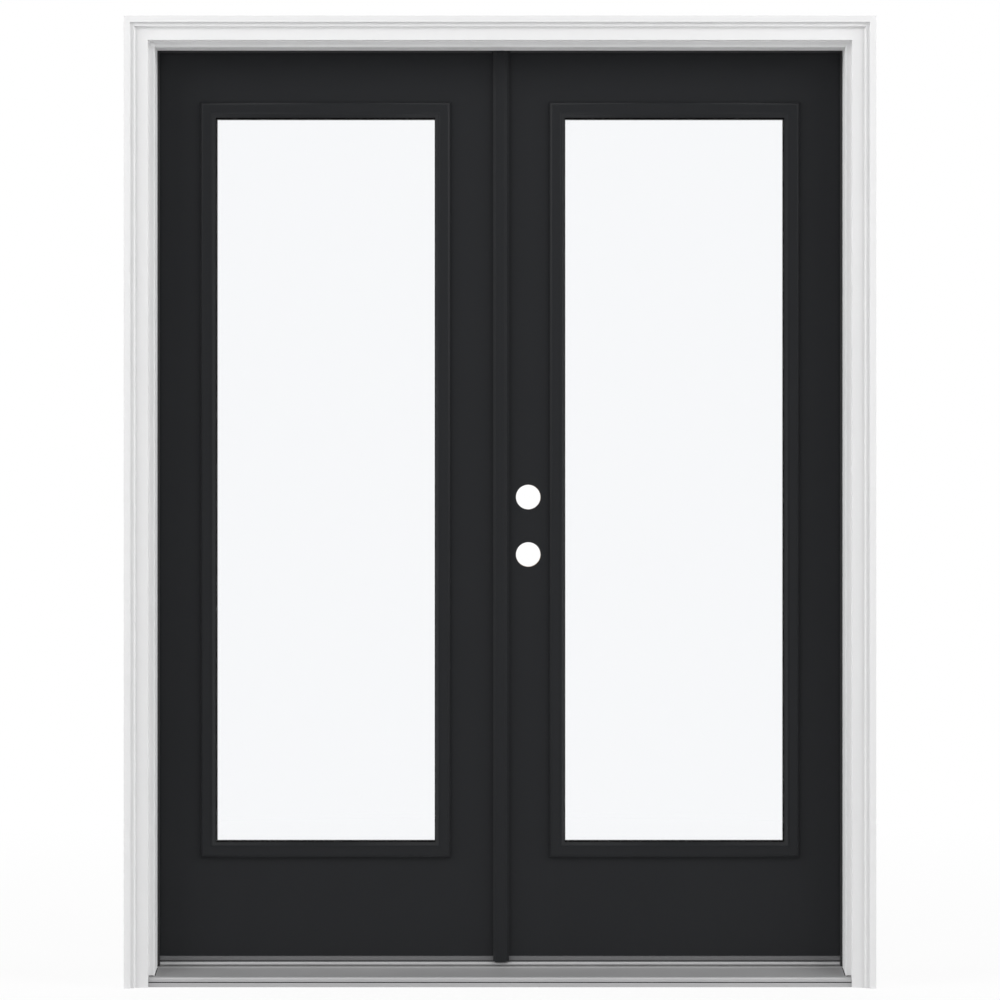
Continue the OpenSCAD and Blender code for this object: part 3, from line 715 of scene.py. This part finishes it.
def groove(shape, x, face_y, inwards):
    """Cuts a shallow upright groove into the face of a skin."""
    for place in (x - SEAM_WIDTH / 2, x, x + SEAM_WIDTH / 2):
        cut(shape, place=(place, 0, 0), across=(1, 0, 0))
    bottom = [v for v in shape.verts if abs(v.co.x - x) < WELD and abs(v.co.y - face_y) < WELD]
    bmesh.ops.translate(shape, verts=bottom, vec=(0, inwards * SEAM_DEPTH, 0))


for leaf, side in zip(LEAVES, (-1, 1)):
    for skin, inwards in (("exterior_skin", 1), ("interior_skin", -1)):
        node = f"{leaf}_{skin}"
        low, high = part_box(node)
        face_y = low.y if inwards > 0 else high.y
        lock_edge, hinge_edge = sorted((abs(low.x), abs(high.x)))
        shape = merged(node)
        ease(shape, radius=0.5 * MM, shortest=2 * MM)
        for x in (hinge_edge - SEAM_FROM_HINGE_EDGE, lock_edge + SEAM_FROM_LOCK_EDGE):
            groove(shape, side * x, face_y, inwards)
        stand_in(shape, node, charcoal)

# %% [markdown]
# ## Frames around the glass
# Each lite is held by two moulded frames, one on each face, with a bead next to the glass and a round
# shoulder outside. Their round stretches are already fine enough to shade smoothly, so only the lips
# are softened.

# %% Lite frames and glass
lite_frames = [f"{leaf}_{face}_lite_frame" for leaf in LEAVES for face in ("exterior", "interior")]
eased(lite_frames, charcoal, radius=0.3 * MM, shortest=100 * MM)
for leaf in LEAVES:
    dress(f"{leaf}_outer_pane", glass)
    dress(f"{leaf}_inner_pane", glass)
    dress(f"{leaf}_glass_spacer", aluminium)

# %% [markdown]
# ## Gaskets against the glass
# A black rubber gasket fills the corner between each moulded frame and its pane, and draws the dark
# line around the white of the glass. It is a wedge: wide where it grips the pane, thin at the lip of
# the frame. A block as large as the opening is inset at both ends, more at the glass than at the lip.
# Bridging the two inner rims then turns the block into a ring, with true mitred corners.

# %% Gaskets
OUTER_GASKET_WIDTH = 1.0 * MM
INNER_GASKET_WIDTH = 2.0 * MM
GASKET_EDGE = 0.3 * MM
GASKET_SETBACK = 1.0 * MM


def opening_of(node):
    """The clear opening of a ring-shaped node, as its lowest and highest X and Z."""
    low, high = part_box(node)
    centre = (low + high) / 2
    spots = [v.co for v in nodes[node].data.vertices]
    return (
        max(p.x for p in spots if p.x < centre.x), min(p.x for p in spots if p.x > centre.x),
        max(p.z for p in spots if p.z < centre.z), min(p.z for p in spots if p.z > centre.z),
    )


def gasket(opening, width, glass_y, lip_y):
    """A wedge-shaped ring in an opening, from the glass to the lip."""
    left, right, bottom, top = opening
    shape = block((left, min(glass_y, lip_y), bottom), (right, max(glass_y, lip_y), top))
    ends = []
    for y, inset in ((glass_y, width), (lip_y, GASKET_EDGE)):
        end = min(shape.faces, key=lambda face: abs(face.calc_center_median().y - y))
        bmesh.ops.inset_individual(shape, faces=[end], thickness=inset, use_even_offset=True)
        ends.append(end)
    rims = [edge for end in ends for edge in end.edges]
    bmesh.ops.delete(shape, geom=ends, context="FACES_ONLY")
    bmesh.ops.bridge_loops(shape, edges=rims)
    bmesh.ops.recalc_face_normals(shape, faces=shape.faces)
    return shape


for leaf in LEAVES:
    for face, pane, outwards, width in (
        ("exterior", "outer", -1, OUTER_GASKET_WIDTH), ("interior", "inner", 1, INNER_GASKET_WIDTH),
    ):
        node = f"{leaf}_{face}_lite_frame"
        opening = opening_of(node)
        low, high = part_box(f"{leaf}_{pane}_pane")
        glass_y = low.y if outwards < 0 else high.y
        wall = [v.co.y for v in nodes[node].data.vertices if abs(v.co.x - opening[0]) < WELD]
        lip_y = min(wall) + GASKET_SETBACK if outwards < 0 else max(wall) - GASKET_SETBACK
        shape = gasket(opening, width, glass_y, lip_y)
        piece_of(shape, f"{leaf}_{face}_gasket", rubber, f"{leaf}_leaf")

# %% [markdown]
# ## Cover strip, sweeps and seals
# The astragal is a solid strip that covers the joint between the leaves, with chamfered arrises. The
# sweeps under the leaves are grey vinyl, with a thin fin along the foot that wipes the cap. The fin
# is dark partly as painted shade, for the shadow between the sweep and the cap. The seals keep their
# own shapes: a round bulb needs no softening.

# %% Cover strip, sweeps and seals
FIN = 0.8 * MM
FIN_HEIGHT = 3.0 * MM

eased(["astragal"], charcoal, radius=0.8 * MM, shortest=3 * MM)
eased(["passive_sweep", "active_sweep"], grey_vinyl, radius=0.3 * MM, shortest=45 * MM)
for leaf in LEAVES:
    low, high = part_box(f"{leaf}_sweep")
    shape = block((low.x, low.y - FIN / 2, low.z), (high.x, low.y + FIN / 2, low.z + FIN_HEIGHT))
    # The dark fin is partly painted shade: the shadow between the sweep and the cap.
    piece_of(shape, f"{leaf}_sweep_shadow_fin", fin_shadow_vinyl, f"{leaf}_leaf")
for node in ("left_weatherstrip", "right_weatherstrip", "head_weatherstrip", "astragal_seal"):
    dress(node, black_seal)

# %% [markdown]
# ## Inside the leaves
# Timber stiles and rails frame each leaf, with foam between them. Only their edges ever show.

# %% Inside the leaves
INNER_PIECES = {
    "hinge_stile": upright_timber, "lock_stile": upright_timber,
    "top_rail": level_timber, "bottom_rail": level_timber, "core": foam,
}

for leaf in LEAVES:
    for piece, finish in INNER_PIECES.items():
        dress(f"{leaf}_{piece}", finish)

# %% [markdown]
# ## Plugs over the frame screws
# The two moulded frames of a lite are drawn together by screws from the room side, and a small round
# plug hides each. A loop spaces them evenly along the four bars, on the slope of the moulding.

# %% Screw plugs
PLUG_RADIUS = 4.5 * MM
PLUG_HEIGHT = 2.4 * MM
PLUG_SINK = 1.6 * MM
PLUG_FROM_GLASS = 19.5 * MM
PLUGS_ACROSS = 3
PLUGS_UP = 6
ROUND_CORNERS = 24


def cylinder(shape, radius, depth, stand):
    """Adds a closed cylinder to a shape, and gives its corners back."""
    made = bmesh.ops.create_cone(
        shape, cap_ends=True, segments=ROUND_CORNERS, radius1=radius, radius2=radius,
        depth=depth, matrix=stand,
    )
    return made["verts"]


for leaf in LEAVES:
    node = f"{leaf}_interior_lite_frame"
    left, right, bottom, top = opening_of(node)
    face_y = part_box(node)[1].y - PLUG_SINK
    spots = []
    for i in range(PLUGS_ACROSS):
        x = left + (right - left) * (i + 0.5) / PLUGS_ACROSS
        spots += [(x, bottom - PLUG_FROM_GLASS), (x, top + PLUG_FROM_GLASS)]
    for i in range(PLUGS_UP):
        z = bottom + (top - bottom) * (i + 0.5) / PLUGS_UP
        spots += [(left - PLUG_FROM_GLASS, z), (right + PLUG_FROM_GLASS, z)]
    shape = bmesh.new()
    for x, z in spots:
        stand = Matrix.Translation((x, face_y, z)) @ Matrix.Rotation(math.radians(90), 4, "X")
        cylinder(shape, PLUG_RADIUS, PLUG_HEIGHT, stand)
    ease(shape, radius=0.4 * MM)
    piece_of(shape, f"{leaf}_screw_plugs", charcoal, f"{leaf}_leaf")

# %% [markdown]
# ## Hinges
# A butt hinge has a plate let into the jamb, one let into the leaf, and knuckles that share a pin.
# Pressed plates have small rounds, so their edges are softened a little. The turned pins keep their
# own shape.

# %% Hinges
LEVELS = ("bottom", "middle", "top")
hinge_plates = [f"{side}_frame_hinge_{level}" for side in ("left", "right") for level in LEVELS]
hinge_plates += [f"{leaf}_hinge_{level}" for leaf in LEAVES for level in LEVELS]
eased(hinge_plates, steel, radius=0.3 * MM, shortest=5 * MM)
dress("hinge_pins", steel)

# %% [markdown]
# ## Screw heads
# Each screw in a hinge has a cross recess. It could be drawn by the material, but light falls into a
# real one. In a welded copy of the screws the flat end of each head is cut by planes into a grid. The
# cells that make a cross are then extruded into the head, and the faces they started from deleted.
# A face counts as level with an axis when its normal lies almost wholly along it.

# %% Cut a cross
CROSS_REACH = 2.3 * MM
CROSS_WIDTH = 1.3 * MM
CROSS_DEPTH = 1.5 * MM
LEVEL = 0.999


def cut_cross(shape, face):
    """Sinks a cross into the flat end of a screw."""
    centre = face.calc_center_median()
    inwards = -face.normal.copy()
    up = Vector((0, 1, 0)) if abs(inwards.z) > LEVEL else Vector((0, 0, 1))
    along = inwards.cross(up)
    cells = [face]
    for axis in (up, along):
        for offset in (-CROSS_REACH, -CROSS_WIDTH / 2, CROSS_WIDTH / 2, CROSS_REACH):
            cells = cut(shape, place=centre + axis * offset, across=axis, faces=cells)
    cross = []
    for cell in cells:
        offset = cell.calc_center_median() - centre
        less, more = sorted((abs(offset.dot(up)), abs(offset.dot(along))))
        if less < CROSS_WIDTH / 2 and more < CROSS_REACH:
            cross.append(cell)
    grown = bmesh.ops.extrude_face_region(shape, geom=cross)
    sunk = [item for item in grown["geom"] if isinstance(item, bmesh.types.BMVert)]
    bmesh.ops.translate(shape, verts=sunk, vec=inwards * CROSS_DEPTH)
    bmesh.ops.delete(shape, geom=cross, context="FACES")


print("a cross", round(2 * CROSS_REACH / MM, 1), "mm wide")

# %% [markdown]
# The flat end of a head is the widest level face of a screw, so a test on size and direction finds
# all of them at once.

# %% Screw heads
NEARLY = 0.9


def heads_of(shape):
    """The flat ends of the screw heads: the widest level faces of a shape."""
    flats = [face for face in shape.faces if max(abs(v) for v in face.normal) > LEVEL]
    widest = max(face.calc_area() for face in flats)
    return [face for face in flats if face.calc_area() > NEARLY * widest]


for node in ("frame_hinge_screws", "passive_hinge_screws", "active_hinge_screws"):
    shape = merged(node)
    heads = heads_of(shape)
    for face in heads:
        cut_cross(shape, face)
    print(len(heads), "heads")
    stand_in(shape, node, steel)

# %% [markdown]
# ## Bolts
# The passive leaf is held by two edge bolts, with a plate in its lock edge for each thumb slide and a
# strike plate in the head and in the sill.

# %% Bolts
eased(["bolt_plates", "bolt_strikes"], steel, radius=0.25 * MM, shortest=3 * MM)
eased(["top_bolt", "bottom_bolt"], steel, radius=0.3 * MM, shortest=3 * MM)

# %% [markdown]
# Two small screws hold each of these plates, one near either end. A short cylinder makes a head that
# stands a hair proud of its plate, and the cross is cut into its outer end.

# %% Screws in the plates
HEAD_RADIUS = 3.2 * MM
HEAD_DEPTH = 1.9 * MM
HEAD_PROUD = 0.1 * MM
HEAD_FROM_END = 7.0 * MM


def screw_head(shape, place, outwards):
    """Adds the head of a screw to a shape, let into a plate at a place on its face."""
    turned = outwards.to_track_quat("Z", "Y").to_matrix().to_4x4()
    stand = Matrix.Translation(place - outwards * (HEAD_DEPTH / 2 - HEAD_PROUD)) @ turned
    corners = cylinder(shape, HEAD_RADIUS, HEAD_DEPTH, stand)
    faces = {face for vert in corners for face in vert.link_faces}
    end = max(faces, key=lambda face: face.calc_center_median().dot(outwards))
    end.normal_update()
    cut_cross(shape, end)


def plate_screws(node, spots):
    """The screws of a node's plates, from the places and directions of their heads."""
    shape = bmesh.new()
    for place, outwards in spots:
        screw_head(shape, Vector(place), Vector(outwards))
    piece_of(shape, f"{node}_screws", steel, nodes[node]["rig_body"])


low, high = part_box("bolt_plates")
middle_y = (low.y + high.y) / 2
heights = [v.co.z for v in nodes["bolt_plates"].data.vertices]
upper = [z for z in heights if z > (low.z + high.z) / 2]
lower = [z for z in heights if z < (low.z + high.z) / 2]
ends = [z for plate in (lower, upper) for z in (min(plate) + HEAD_FROM_END, max(plate) - HEAD_FROM_END)]
plate_screws("bolt_plates", [((high.x, middle_y, z), (1, 0, 0)) for z in ends])

low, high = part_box("bolt_strikes")
ends = (low.x + HEAD_FROM_END, high.x - HEAD_FROM_END)
heights = [v.co.z for v in nodes["bolt_strikes"].data.vertices]
sill_face = min(z for z in heights if z > low.z + WELD)
head_face = max(z for z in heights if z < high.z - WELD)
in_sill = [((x, middle_y, sill_face), (0, 0, 1)) for x in ends]
in_head = [((x, middle_y, head_face), (0, 0, -1)) for x in ends]
plate_screws("bolt_strikes", in_sill + in_head)

# %% [markdown]
